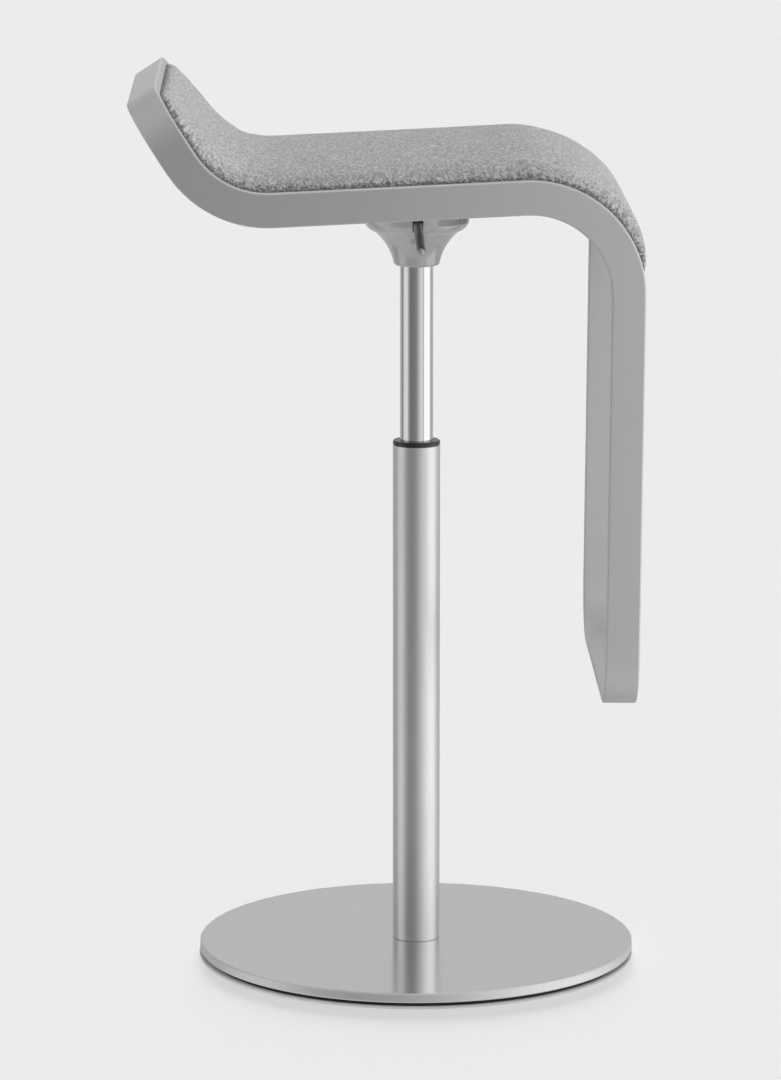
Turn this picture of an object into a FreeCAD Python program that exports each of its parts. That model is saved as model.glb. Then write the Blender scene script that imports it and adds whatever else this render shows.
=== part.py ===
"""Bar stool on a gas-lift column, as a parametric document.

Millimetres and degrees. The origin is the middle of the foot's underside, on the floor.
+Z is up, +X is the front, where the footrest hangs, and the stool is the same on both sides of Y.
The seat is shown at the top of its travel.
"""
import FreeCAD, Part
import math
import os
import re

import Sketcher
from FreeCAD import Vector

DIMENSIONS = {
    # Foot
    "pad_thickness": 3.5,
    "pad_inset": 5.0,
    "base_diameter": 370.0,
    "base_thickness": 8.0,
    "rim_bevel": 1.0,
    # Column
    "column_diameter": 40.0,
    "column_wall": 2.5,
    "column_length": 428.5,
    "tube_bevel": 0.5,
    "bush_length": 90.0,
    "lip_height": 3.6,
    "lip_round": 1.5,
    "plug_height": 20.0,
    "clip_pocket_diameter": 15.0,
    "clip_pocket_depth": 8.0,
    "base_screw_count": 3,
    "base_screw_diameter": 5.0,
    "base_screw_head": 10.0,
    "base_screw_length": 20.0,
    # Clearances: fixed fits, running fits, turning faces and soft pieces
    "fixed_gap": 0.02,
    "running_gap": 0.05,
    "face_gap": 0.1,
    "soft_gap": 0.3,
    # Swivel bearing
    "bearing_diameter": 28.0,
    "washer_thickness": 2.0,
    "ball_diameter": 4.0,
    "ball_count": 12,
    "ball_circle": 20.0,
    "cage_thickness": 1.6,
    "cage_wall": 2.0,
    # Piston rod and what sits on it
    "rod_diameter": 10.0,
    "neck_diameter": 7.0,
    "clip_washer_thickness": 1.5,
    "clip_washer_room": 1.0,
    "clip_thickness": 1.2,
    "clip_depth": 1.0,
    "clip_width": 2.4,
    "clip_mouth": 4.0,
    "rod_tail": 1.5,
    "sleeve_diameter": 16.0,
    "bump_diameter": 24.0,
    "bump_height": 12.0,
    "piston_height": 10.0,
    "piston_room": 3.0,
    # Gas cylinder
    "cylinder_diameter": 28.0,
    "cylinder_wall": 1.5,
    "cylinder_length": 300.0,
    "exposed_length": 152.0,
    "lift_travel": 120.0,
    "rod_guide_height": 18.0,
    "seal_height": 5.0,
    "valve_block_height": 20.0,
    "button_diameter": 6.0,
    "button_stem": 14.0,
    # Hub
    "hub_height": 53.5,
    "hub_foot_wall": 2.5,
    "hub_foot_round": 3.0,
    "hub_foot_height": 2.6,
    "hub_neck_step": 2.9,
    "hub_flare_step": 16.3,
    "hub_flare_round": 47.0,
    "hub_flare_height": 29.0,
    "hub_lip_step": 8.3,
    "hub_lip_round": 12.0,
    "hub_lip_height": 37.0,
    "hub_socket_depth": 32.0,
    "hub_chamber_diameter": 18.0,
    # Release lever
    "lever_diameter": 7.6,
    "lever_slope": 4.0,
    "lever_reach": 126.0,
    "lever_boss_diameter": 10.0,
    "lever_boss_width": 8.2,
    "lever_slot_width": 8.8,
    "lever_slot_floor": 1.2,
    "pivot_reach": 24.0,
    "pivot_height": 7.5,
    "pin_diameter": 4.0,
    "pin_inset": 1.2,
    # Strap loop round the seat
    "seat_width": 340.0,
    "seat_tilt": 2.7,
    "seat_rear_x": -120.3,
    "seat_front_x": 84.3,
    "rear_radius": 82.3,
    "rear_angle": 57.0,
    "rear_length": 61.2,
    "front_radius": 79.7,
    "leg_lean": 0.53,
    "leg_length": 344.9,
    "strap_height": 28.0,
    "strap_thickness": 8.0,
    "strap_edge_round": 1.5,
    "corner_radius": 50.0,
    # Seat carrier
    "plate_thickness": 5.0,
    "plate_margin": 3.0,
    "plate_width": 120.0,
    "plate_corner": 10.0,
    "bar_thickness": 5.0,
    "bar_width": 30.0,
    "bar_spacing": 120.0,
    "hub_screw_diameter": 6.0,
    "hub_screw_head": 11.0,
    "hub_screw_length": 14.0,
    "hub_screw_spacing": 46.0,
    "seat_bolt_diameter": 6.0,
    "seat_bolt_head": 12.0,
    "seat_bolt_head_height": 4.0,
    "seat_bolt_spacing": 90.0,
    "tee_nut_barrel": 8.0,
    "tee_nut_flange": 18.0,
    "tee_nut_flange_height": 1.4,
    # Seat pad
    "shell_thickness": 9.0,
    "shell_side_gap": 6.0,
    "shell_end_gap": 3.0,
    "cover_thickness": 1.5,
    "cushion_rise": 16.0,
    "cushion_rear_rise": 2.0,
    "cushion_bend_rise": 9.0,
    "cushion_front_rise": 1.8,
    "cushion_front_taper": 60.0,
    "cushion_roll": 16.0,
    "cushion_roll_drop": 5.0,
    "cushion_draw": 3.5,
    "cushion_swell": 0.8,
    "front_wrap": 83.0,
    "front_corner": 14.0,
}

# Room that cutting shapes leave past the piece they cut.
OVERSHOOT = 20

doc = FreeCAD.newDocument("bar_stool")
sheet = doc.addObject("Spreadsheet::Sheet", "dims")
for row, (alias, value) in enumerate(DIMENSIONS.items(), 1):
    sheet.set(f"B{row}", str(value))
    sheet.setAlias(f"B{row}", alias)
doc.recompute()

nodes = []


# Sheet expressions

def tied(expression):
    """Point every dimension named in an expression at its cell in the sheet."""
    def cell(word):
        return f"dims.{word[0]}" if word[0] in DIMENSIONS else word[0]
    return re.sub(r"[a-z][a-z_]*", cell, expression)


def number(expression):
    """Value of an expression now."""
    result = sheet.evalExpression(tied(expression))
    return float(getattr(result, "Value", result))


def bind(thing, **expressions):
    """Tie properties of an object to expressions."""
    for name, expression in expressions.items():
        thing.setExpression(name, tied(expression))
    return thing


def place(thing, x="0", y="0", z="0", axis="0; 0; 1", angle="0"):
    """Tie an object's placement to expressions."""
    spot = f"placement(vector({x}; {y}; {z}); rotation(vector({axis}); {angle}))"
    return bind(thing, Placement=spot)


def place_on_seat(thing, along="0", side="0", level="0"):
    """Place an object square to the tilted seat, measured from the strap's middle over the column."""
    seat = f"placement(vector(0; 0; {SEAT_LEVEL}); rotation(vector(0; 1; 0); -seat_tilt))"
    spot = f"placement(vector({along}; {side}; {level}); rotation(vector(0; 0; 1); 0))"
    return bind(thing, Placement=f"{seat} * {spot}")


# Sketches and solids

def new_sketch(body, name, role):
    """Empty sketch on one of a body's origin planes."""
    sketch = body.newObject("Sketcher::SketchObject", name)
    plane = next(feature for feature in body.Origin.OriginFeatures if feature.Role == role)
    sketch.AttachmentSupport = [(plane, "")]
    sketch.MapMode = "FlatFace"
    return sketch


def arc_between(start, end, radius):
    """Arc shorter than a half circle; a positive radius turns left on the way to end."""
    chord = end - start
    rise = math.sqrt(radius ** 2 - (chord.Length / 2) ** 2)
    left = Vector(-chord.y, chord.x, 0).normalize()
    centre = (start + end) / 2 + left * math.copysign(rise, radius)
    first, last = (start, end) if radius > 0 else (end, start)
    angles = [math.atan2(point.y - centre.y, point.x - centre.x) for point in (first, last)]
    circle = Part.Circle(centre, Vector(0, 0, 1), abs(radius))
    return Part.ArcOfCircle(circle, *angles)


def draw(sketch, corners, closed=True):
    """Draw an outline through corners (across, up) or (across, up, radius).

    A radius bends the edge that leaves its corner: left where positive, right where negative.
    Every corner and radius is tied to its expression.
    """
    spots = [Vector(number(corner[0]), number(corner[1]), 0) for corner in corners]
    edge_count = len(corners) if closed else len(corners) - 1
    ends = []
    for index in range(edge_count):
        start = spots[index]
        end = spots[(index + 1) % len(spots)]
        bend = corners[index][2] if len(corners[index]) > 2 else None
        radius = number(bend) if bend else 0
        shape = arc_between(start, end, radius) if bend else Part.LineSegment(start, end)
        edge = sketch.addGeometry(shape, False)
        ends.append((edge, 2, 1) if radius < 0 else (edge, 1, 2))
        if bend:
            limit = sketch.addConstraint(Sketcher.Constraint("Radius", edge, abs(radius)))
            sketch.setExpression(f"Constraints[{limit}]", tied(f"abs({bend})"))
    for index in range(edge_count if closed else edge_count - 1):
        edge, _, leaving = ends[index]
        following, arriving, _ = ends[(index + 1) % edge_count]
        sketch.addConstraint(Sketcher.Constraint("Coincident", edge, leaving, following, arriving))
    for index, corner in enumerate(corners):
        edge, vertex = ends[index][:2] if index < edge_count else ends[-1][::2]
        for kind, axis, expression in (("DistanceX", -2, corner[0]), ("DistanceY", -1, corner[1])):
            if expression == "0":
                sketch.addConstraint(Sketcher.Constraint("PointOnObject", edge, vertex, axis))
                continue
            size = Sketcher.Constraint(kind, -1, 1, edge, vertex, number(expression))
            limit = sketch.addConstraint(size)
            sketch.setExpression(f"Constraints[{limit}]", tied(expression))


def turned(name, corners):
    """Body turned about the column's axis from an outline of (radius, height) corners."""
    body = doc.addObject("PartDesign::Body", name)
    outline = new_sketch(body, f"{name}_outline", "XZ_Plane")
    draw(outline, corners)
    turning = body.newObject("PartDesign::Revolution", f"{name}_turning")
    turning.Profile = outline
    turning.ReferenceAxis = (outline, ["V_Axis"])
    turning.Angle = 360
    return body


def ring(name, inner, outer, bottom, top):
    """Plain ring or tube, or a disc where inner is 0."""
    return turned(name, [(inner, bottom), (outer, bottom), (outer, top), (inner, top)])


def cylinder(name, radius, height):
    """Plain cylinder, placed by the caller."""
    return bind(doc.addObject("Part::Cylinder", name), Radius=radius, Height=height)


def box(name, length, width, height):
    """Plain box, placed by the caller."""
    return bind(doc.addObject("Part::Box", name), Length=length, Width=width, Height=height)


def joined(name, pieces):
    """Pieces fused into one."""
    fusion = doc.addObject("Part::MultiFuse", name)
    fusion.Shapes = pieces
    return fusion


def grouped(name, pieces):
    """Like pieces that stay separate solids."""
    group = doc.addObject("Part::Compound", name)
    group.Links = pieces
    return group


def cut(name, base, tools):
    """Base with tools cut away."""
    result = doc.addObject("Part::Cut", name)
    result.Base = base
    result.Tool = tools[0] if len(tools) == 1 else joined(f"{name}_cuts", tools)
    return result


def common(name, first, second):
    """What two pieces share."""
    result = doc.addObject("Part::Common", name)
    result.Base = first
    result.Tool = second
    return result


def edges_where(feature, wanted):
    """Names of a feature's edges that pass a test."""
    doc.recompute()
    return [f"Edge{index}" for index, edge in enumerate(feature.Shape.Edges, 1) if wanted(edge)]


def round_edges(body, feature, name, radius, wanted):
    """Fillet on the edges of a body's feature that pass a test."""
    fillet = body.newObject("PartDesign::Fillet", name)
    fillet.Base = (feature, edges_where(feature, wanted))
    return bind(fillet, Radius=radius)


def keep(thing, label):
    """Name a finished sub-part."""
    thing.Label = label
    nodes.append(thing)
    return thing


# Levels up the column, as expressions

DISC_TOP = "(pad_thickness + base_thickness)"
COLUMN_TOP = f"({DISC_TOP} + column_length)"
BORE_RADIUS = "(column_diameter / 2 - column_wall)"
PLUG_TOP = f"({DISC_TOP} + plug_height)"
BALLS_LOW = f"({PLUG_TOP} + washer_thickness)"
BALLS_HIGH = f"({BALLS_LOW} + ball_diameter + 2 * running_gap)"
BEARING_TOP = f"({BALLS_HIGH} + washer_thickness)"
HUB_FOOT = f"({COLUMN_TOP} + exposed_length)"
SEAT_LEVEL = f"({HUB_FOOT} + hub_height + plate_thickness + strap_height / 2)"
CYLINDER_TOP = f"({HUB_FOOT} + hub_socket_depth)"
CYLINDER_FOOT = f"({CYLINDER_TOP} - cylinder_length)"
GUIDE_TOP = f"({CYLINDER_FOOT} + rod_guide_height)"
SEAL_TOP = f"({GUIDE_TOP} + seal_height)"
PISTON_FOOT = f"({SEAL_TOP} + piston_room)"
BUMP_TOP = f"({CYLINDER_FOOT} - lift_travel - soft_gap)"
PIVOT_LEVEL = f"({CYLINDER_TOP} + pivot_height)"
BUTTON_TOP = (f"({PIVOT_LEVEL} + (pivot_reach - button_diameter / 2) * tan(lever_slope)"
              " - lever_diameter / 2 / cos(lever_slope) - face_gap)")


def countersunk_screw(name, diameter, head, length):
    """Screw whose flat head lies at level 0 and whose shank points down."""
    cone = f"({head} - {diameter}) / 2"
    return turned(name, [("0", f"-({length})"), (f"{diameter} / 2", f"-({length})"),
                         (f"{diameter} / 2", f"-({cone})"), (f"{head} / 2", "0"), ("0", "0")])


def countersink(name, diameter, head, length):
    """Hole for such a screw, a fixed fit all round."""
    return countersunk_screw(name, f"({diameter} + 2 * fixed_gap)", f"({head} + 2 * fixed_gap)",
                             f"({length} + fixed_gap)")


# Foot and column

def build_foot():
    """Floor pad, disc, column with its plug, and the screws that hold them together."""
    rim = "base_diameter / 2"
    keep(ring("pad_disc", "0", f"{rim} - pad_inset", "0", "pad_thickness"), "floor_pad")

    disc = turned("disc_blank", [
        ("0", "pad_thickness"), (f"{rim} - rim_bevel", "pad_thickness"),
        (rim, "pad_thickness + rim_bevel"), (rim, f"{DISC_TOP} - rim_bevel"),
        (f"{rim} - rim_bevel", DISC_TOP), ("0", DISC_TOP)])
    plug = turned("plug_blank", [
        ("neck_diameter / 2 + running_gap", f"{DISC_TOP} + clip_pocket_depth"),
        ("clip_pocket_diameter / 2", f"{DISC_TOP} + clip_pocket_depth"),
        ("clip_pocket_diameter / 2", DISC_TOP), (f"{BORE_RADIUS} - fixed_gap", DISC_TOP),
        (f"{BORE_RADIUS} - fixed_gap", PLUG_TOP), ("neck_diameter / 2 + running_gap", PLUG_TOP)])

    sizes = ("base_screw_diameter", "base_screw_head", "base_screw_length")
    reach = f"(clip_pocket_diameter / 2 + {BORE_RADIUS}) / 2"
    screws = []
    disc_holes = []
    plug_holes = []
    for index in range(DIMENSIONS["base_screw_count"]):
        turn = f"({index} * 360 / base_screw_count)"
        spot = {"x": f"{reach} * cos{turn}", "y": f"{reach} * sin{turn}", "z": "pad_thickness",
                "axis": "1; 0; 0", "angle": "180"}
        screws.append(place(countersunk_screw(f"base_screw_{index}", *sizes), **spot))
        disc_holes.append(place(countersink(f"disc_hole_{index}", *sizes), **spot))
        plug_holes.append(place(countersink(f"plug_hole_{index}", *sizes), **spot))
    keep(cut("disc_drilled", disc, disc_holes), "base_disc")
    keep(cut("plug_drilled", plug, plug_holes), "column_plug")
    keep(grouped("base_screw_set", screws), "base_screws")

    outer = "column_diameter / 2"
    keep(turned("tube", [
        (BORE_RADIUS, DISC_TOP), (f"{outer} - tube_bevel", DISC_TOP),
        (outer, f"{DISC_TOP} + tube_bevel"), (outer, f"{COLUMN_TOP} - tube_bevel"),
        (f"{outer} - tube_bevel", COLUMN_TOP), (BORE_RADIUS, COLUMN_TOP)]), "column_tube")

    bore = "cylinder_diameter / 2 + running_gap"
    lip_top = f"{COLUMN_TOP} + lip_height"
    keep(turned("bush", [
        (bore, f"{COLUMN_TOP} - bush_length"),
        (f"{BORE_RADIUS} - fixed_gap", f"{COLUMN_TOP} - bush_length"),
        (f"{BORE_RADIUS} - fixed_gap", COLUMN_TOP), (outer, COLUMN_TOP),
        (outer, f"{lip_top} - lip_round", "lip_round"), (f"{outer} - lip_round", lip_top),
        (bore, lip_top)]), "guide_bush")


# Swivel

def build_bearing():
    """Thrust bearing on the plug: two washers with caged balls between them."""
    outer = "bearing_diameter / 2"
    neck = "neck_diameter / 2 + running_gap"
    keep(ring("washer_low", neck, outer, PLUG_TOP, BALLS_LOW), "bearing_washer_lower")
    keep(ring("washer_high", "neck_diameter / 2 + fixed_gap", outer, BALLS_HIGH, BEARING_TOP),
         "bearing_washer_upper")

    middle = f"({BALLS_LOW} + {BALLS_HIGH}) / 2"
    reach = "(ball_diameter / 2 + cage_wall)"
    blank = ring("cage_blank", f"ball_circle / 2 - {reach}", f"ball_circle / 2 + {reach}",
                 f"{middle} - cage_thickness / 2", f"{middle} + cage_thickness / 2")
    balls = []
    windows = []
    for index in range(DIMENSIONS["ball_count"]):
        turn = f"({index} * 360 / ball_count)"
        spot = {"x": f"ball_circle / 2 * cos{turn}", "y": f"ball_circle / 2 * sin{turn}"}
        ball = bind(doc.addObject("Part::Sphere", f"ball_{index}"), Radius="ball_diameter / 2")
        balls.append(place(ball, z=middle, **spot))
        window = cylinder(f"window_{index}", "ball_diameter / 2 + running_gap", "2 * cage_thickness")
        windows.append(place(window, z=f"{middle} - cage_thickness", **spot))
    keep(cut("cage", blank, windows), "bearing_cage")
    keep(grouped("ball_set", balls), "bearing_balls")


def build_rod():
    """Piston rod, clipped under the plug, with the stop, the rubber and the piston on it."""
    rod = "rod_diameter / 2"
    neck = "neck_diameter / 2"
    groove = f"({neck} - clip_depth)"
    washer_top = f"({DISC_TOP} + clip_pocket_depth - face_gap)"
    clip_top = f"({washer_top} - clip_washer_thickness)"
    clip_foot = f"({clip_top} - clip_thickness)"
    piston_top = f"({PISTON_FOOT} + piston_height)"
    keep(turned("rod", [
        ("0", f"{clip_foot} - rod_tail"), (neck, f"{clip_foot} - rod_tail"), (neck, clip_foot),
        (groove, clip_foot), (groove, clip_top), (neck, clip_top), (neck, BEARING_TOP),
        (rod, BEARING_TOP), (rod, piston_top), ("0", piston_top)]), "piston_rod")
    keep(ring("washer_clip", f"{neck} + fixed_gap", "clip_pocket_diameter / 2 - clip_washer_room",
              clip_top, washer_top), "clip_washer")

    clip = ring("clip_ring", f"{groove} + fixed_gap", f"{groove} + clip_width", clip_foot, clip_top)
    mouth = box("clip_mouth_cut", f"{groove} + 2 * clip_width", "clip_mouth", "2 * clip_thickness")
    place(mouth, y="-clip_mouth / 2", z=f"{clip_foot} - clip_thickness / 2")
    keep(cut("clip", clip, [mouth]), "rod_clip")

    on_rod = f"{rod} + fixed_gap"
    sleeve_top = f"({BUMP_TOP} - bump_height)"
    keep(ring("sleeve", on_rod, "sleeve_diameter / 2", BEARING_TOP, sleeve_top), "stop_sleeve")
    keep(ring("bump", on_rod, "bump_diameter / 2", sleeve_top, BUMP_TOP), "bump_stop")
    keep(ring("piston_disc", on_rod, "cylinder_diameter / 2 - cylinder_wall - running_gap",
              PISTON_FOOT, piston_top), "piston")


# Lift

def build_gas_cylinder():
    """Cylinder with the rod's guide and seal in its foot and the valve in its top."""
    bore = "(cylinder_diameter / 2 - cylinder_wall)"
    inside = f"{bore} - fixed_gap"
    on_rod = "rod_diameter / 2 + running_gap"
    block_foot = f"({CYLINDER_TOP} - valve_block_height)"
    keep(ring("cylinder_tube", bore, "cylinder_diameter / 2", CYLINDER_FOOT, CYLINDER_TOP),
         "gas_cylinder")
    keep(ring("guide", on_rod, inside, CYLINDER_FOOT, GUIDE_TOP), "rod_guide")
    keep(ring("seal", on_rod, inside, GUIDE_TOP, SEAL_TOP), "rod_seal")
    keep(ring("block", "button_diameter / 2 + running_gap", inside, block_foot, CYLINDER_TOP),
         "valve_block")
    keep(ring("button", "0", "button_diameter / 2", f"{CYLINDER_TOP} - button_stem", BUTTON_TOP),
         "release_button")


def build_hub():
    """Cast hub on the cylinder, cut square to the tilted seat plate on top."""
    foot = "cylinder_diameter / 2 + hub_foot_wall"
    neck = f"{foot} + hub_neck_step"
    flare = f"{neck} + hub_flare_step"
    lip = f"({flare} + hub_lip_step)"
    casting = turned("hub_casting", [
        ("0", HUB_FOOT), (foot, HUB_FOOT, "hub_foot_round"),
        (neck, f"{HUB_FOOT} + hub_foot_height", "-hub_flare_round"),
        (flare, f"{HUB_FOOT} + hub_flare_height", "hub_lip_round"),
        (lip, f"{HUB_FOOT} + hub_lip_height"), (lip, SEAT_LEVEL), ("0", SEAT_LEVEL)])
    socket = cylinder("hub_socket", "cylinder_diameter / 2 + fixed_gap",
                      f"hub_socket_depth + {OVERSHOOT}")
    place(socket, z=f"{HUB_FOOT} - {OVERSHOOT}")
    clear_height = f"hub_height + strap_height + {OVERSHOOT}"
    chamber = cylinder("hub_chamber", "hub_chamber_diameter / 2", clear_height)
    place(chamber, z=HUB_FOOT)
    clear_reach = f"({lip} + {OVERSHOOT})"
    slot = box("lever_slot", "lever_slot_width", clear_reach, clear_height)
    place(slot, x="-lever_slot_width / 2", y=f"-{clear_reach}", z=f"{CYLINDER_TOP} + lever_slot_floor")
    pin_hole = cylinder("pin_hole", "pin_diameter / 2 + fixed_gap", f"2 * {clear_reach}")
    place(pin_hole, x=f"-{clear_reach}", y="-pivot_reach", z=PIVOT_LEVEL, axis="0; 1; 0", angle="90")
    above = box("hub_top_cut", f"2 * {clear_reach}", f"2 * {clear_reach}", "strap_height + plate_thickness")
    place_on_seat(above, f"-{clear_reach}", f"-{clear_reach}", PLATE_FOOT)
    holes = [hub_screw(countersink, f"hub_hole_{index}", index) for index in range(4)]
    keep(cut("hub_cut", casting, [socket, chamber, slot, pin_hole, above] + holes), "hub")

    half = f"(sqrt({lip} * {lip} - pivot_reach * pivot_reach) - pin_inset)"
    pin = cylinder("pin", "pin_diameter / 2", f"2 * {half}")
    place(pin, x=f"-{half}", y="-pivot_reach", z=PIVOT_LEVEL, axis="0; 1; 0", angle="90")
    keep(pin, "lever_pin")


def build_lever():
    """Round lever with a domed tip and a boss on its pin; at rest it slopes down to the tip."""
    radius = "lever_diameter / 2"
    inner = "pivot_reach / cos(lever_slope)"
    shank = turned("lever_shank", [
        ("0", f"-({inner})"), (radius, f"-({inner})"), (radius, f"lever_reach - {radius}", radius),
        ("0", "lever_reach")])
    boss = cylinder("lever_boss", "lever_boss_diameter / 2", "lever_boss_width")
    pivot = {"y": "-pivot_reach", "z": PIVOT_LEVEL}
    place(shank, axis="1; 0; 0", angle="90 + lever_slope", **pivot)
    place(boss, x="-lever_boss_width / 2", axis="0; 1; 0", angle="90", **pivot)
    eye = cylinder("lever_eye", "pin_diameter / 2 + running_gap", "2 * lever_boss_width")
    place(eye, x="-lever_boss_width", axis="0; 1; 0", angle="90", **pivot)
    keep(cut("lever_drilled", joined("lever_forging", [shank, boss]), [eye]), "lever")


# Strap loop: runs of its middle line from the back over the seat and down the leg

REAR_RUN = "(-rear_angle)"
SEAT_RUN = "seat_tilt"
LEG_RUN = "(-90 - leg_lean)"
WRAP_RUN = "(seat_tilt - front_wrap)"


def along(run, distance):
    """Step in the direction of a run."""
    return f"({distance}) * cos({run})", f"({distance}) * sin({run})"


def outward(run, distance):
    """Step square to a run, to the sitter's side."""
    return f"-({distance}) * sin({run})", f"({distance}) * cos({run})"


def stepped(point, *steps):
    """Point moved by steps."""
    return tuple(" + ".join(parts) for parts in zip(point, *steps))


SEAT_REAR = ("seat_rear_x", f"{SEAT_LEVEL} + seat_rear_x * tan(seat_tilt)")
SEAT_FRONT = ("seat_front_x", f"{SEAT_LEVEL} + seat_front_x * tan(seat_tilt)")
REAR_CENTRE = stepped(SEAT_REAR, outward(SEAT_RUN, "rear_radius"))
FRONT_CENTRE = stepped(SEAT_FRONT, outward(SEAT_RUN, "-front_radius"))


def strap_line(level, rear_inset, front_run, leg_length=None):
    """Corners of a line that follows the strap at a level from its middle.

    It starts rear_inset from the back and ends where the front bend reaches front_run, or further
    down, at the end of a leg.
    """
    rear = f"({level} - rear_radius)"
    front = f"({level} + front_radius)"
    back = stepped(REAR_CENTRE, outward(REAR_RUN, rear), along(REAR_RUN, f"{rear_inset} - rear_length"))
    line = [
        back,
        stepped(REAR_CENTRE, outward(REAR_RUN, rear)) + (f"-{rear}",),
        stepped(REAR_CENTRE, outward(SEAT_RUN, rear)),
        stepped(FRONT_CENTRE, outward(SEAT_RUN, front)) + (f"-{front}",),
        stepped(FRONT_CENTRE, outward(front_run, front)),
    ]
    if leg_length:
        line.append(stepped(line[-1], along(front_run, leg_length)))
    return line


def turned_back(line):
    """The same line drawn from its other end."""
    points = [corner[:2] for corner in line]
    bends = [f"-{corner[2]}" if len(corner) > 2 else None for corner in line]
    back = []
    for index in range(len(line) - 1, -1, -1):
        bend = bends[index - 1] if index else None
        back.append(points[index] + ((bend,) if bend else ()))
    return back


def extruded(body, kind, name, lower, upper, width):
    """Pad or Pocket between two lines along the strap, spread evenly to both sides."""
    outline = new_sketch(body, f"{name}_outline", "XZ_Plane")
    draw(outline, lower + turned_back(upper))
    feature = body.newObject(f"PartDesign::{kind}", name)
    feature.Profile = outline
    feature.SideType = "Symmetric"
    return bind(feature, Length=width)


def spans(first, last):
    """Test for the edges that, seen from the side, run from one corner of an outline to another."""
    corners = [[number(size) for size in corner[:2]] for corner in (first, last)]

    def wanted(edge):
        ends = [(vertex.X, vertex.Z) for vertex in edge.Vertexes]
        return len(ends) == 2 and all(min(math.dist(corner, end) for end in ends) < 0.01
                                      for corner in corners)
    return wanted


def build_seat_frame():
    """Closed loop of flat strap: seat rails, back, legs and footrest in one."""
    half = "strap_height / 2"
    body = doc.addObject("PartDesign::Body", "loop")
    low, high = [strap_line(level, "0", LEG_RUN, "leg_length") for level in (f"-{half}", half)]
    strap = extruded(body, "Pad", "loop_width", low, high, "seat_width")

    ends = ("strap_thickness", LEG_RUN, "leg_length - strap_thickness")
    clear = f"({half} + {OVERSHOOT})"
    opening = extruded(body, "Pocket", "loop_opening", strap_line(f"-{clear}", *ends),
                       strap_line(clear, *ends), "seat_width - 2 * strap_thickness")
    inner_low, inner_high = [strap_line(level, *ends) for level in (f"-{half}", half)]

    feature = opening
    for name, radius, lower, upper in (
            ("inner", "corner_radius - strap_thickness", inner_low, inner_high),
            ("outer", "corner_radius", low, high)):
        for end, corner in (("rear", 0), ("foot", -1)):
            feature = round_edges(body, feature, f"loop_{name}_{end}", radius,
                                  spans(lower[corner], upper[corner]))

    def on_rim(edge):
        if edge.Curve.TypeId != "Part::GeomLine":
            return True
        return min(abs(edge.Length - number(size)) for size in ("strap_thickness", "strap_height")) > 0.01
    round_edges(body, feature, "loop_rims", "strap_edge_round", on_rim)
    keep(body, "seat_frame")


# Seat carrier: plate on the hub, bars between the rails, and their screws

PLATE_FOOT = "(-strap_height / 2 - plate_thickness)"
BAR_FOOT = "(-strap_height / 2)"
SHELL_FOOT = f"({BAR_FOOT} + bar_thickness)"
SHELL_TOP = f"({SHELL_FOOT} + shell_thickness)"
QUARTERS = [(1, 1), (-1, 1), (-1, -1), (1, -1)]


def hub_screw(maker, name, index):
    """Hub screw, or its hole, at one corner of the hub's pattern."""
    ahead, aside = QUARTERS[index]
    screw = maker(name, "hub_screw_diameter", "hub_screw_head", "hub_screw_length")
    half = "hub_screw_spacing / 2"
    return place_on_seat(screw, f"{ahead} * {half}", f"{aside} * {half}", BAR_FOOT)


def seat_bolt_spot(index, level):
    """Place of a seat bolt on its bar, at a level."""
    ahead, aside = QUARTERS[index]
    return f"{ahead} * bar_spacing / 2", f"{aside} * seat_bolt_spacing / 2", level


def bolt_hole(name, index, radius, low, high):
    """Round hole at a seat bolt's place."""
    return place_on_seat(cylinder(name, radius, f"{high} - {low}"), *seat_bolt_spot(index, low))


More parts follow.
